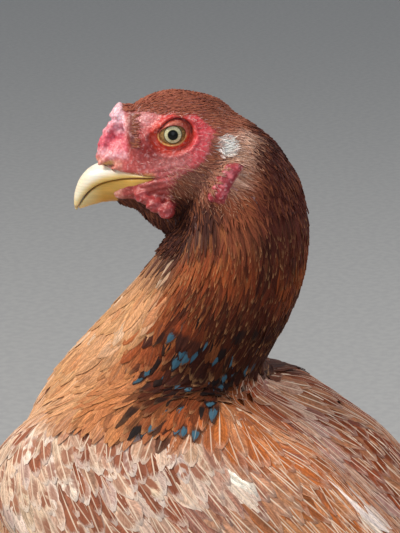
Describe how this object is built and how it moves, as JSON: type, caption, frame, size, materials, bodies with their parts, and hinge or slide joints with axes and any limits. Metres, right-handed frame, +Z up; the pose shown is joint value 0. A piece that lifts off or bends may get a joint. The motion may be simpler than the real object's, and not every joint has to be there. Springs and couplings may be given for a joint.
{
  "type": "chicken",
  "caption": "Life-size still model of a standing game hen with an upright neck, a pea comb, close plumage and bare shanks, looking over her left shoulder.",
  "frame": {"origin": "on the floor, under the centre of the whole bird's bounding box", "axes": "+Z up; the body faces -Y, the bird's left side is at +X, and the head is turned 30 degrees to the left"},
  "size_m": [0.1764, 0.4016, 0.4551],
  "materials": {
    "plumage": "close, faintly glossy feathers",
    "flesh": "bare, finely wrinkled skin",
    "beak": "worn horn",
    "claws": "worn horn",
    "legs": "scaled skin",
    "eyes": "wet, clear"
  },
  "bodies": {
    "root": {"beak_lower": "beak", "beak_upper": "beak", "claw_hind_left": "claws", "claw_hind_right": "claws", "claw_inner_left": "claws", "claw_inner_right": "claws", "claw_middle_left": "claws", "claw_middle_right": "claws", "claw_outer_left": "claws", "claw_outer_right": "claws", "comb": "flesh", "earlobe_left": "flesh", "earlobe_right": "flesh", "eye_left": "eyes", "eye_right": "eyes", "flights_left": "plumage", "flights_right": "plumage", "head": "plumage", "neck": "plumage", "shank_left": "legs", "shank_right": "legs", "tail": "plumage", "thigh_left": "plumage", "thigh_right": "plumage", "toe_hind_left": "legs", "toe_hind_right": "legs", "toe_inner_left": "legs", "toe_inner_right": "legs", "toe_middle_left": "legs", "toe_middle_right": "legs", "toe_outer_left": "legs", "toe_outer_right": "legs", "trunk": "plumage", "wattle_left": "flesh", "wattle_right": "flesh", "wing_left": "plumage", "wing_right": "plumage"}
  },
  "joints": []
}
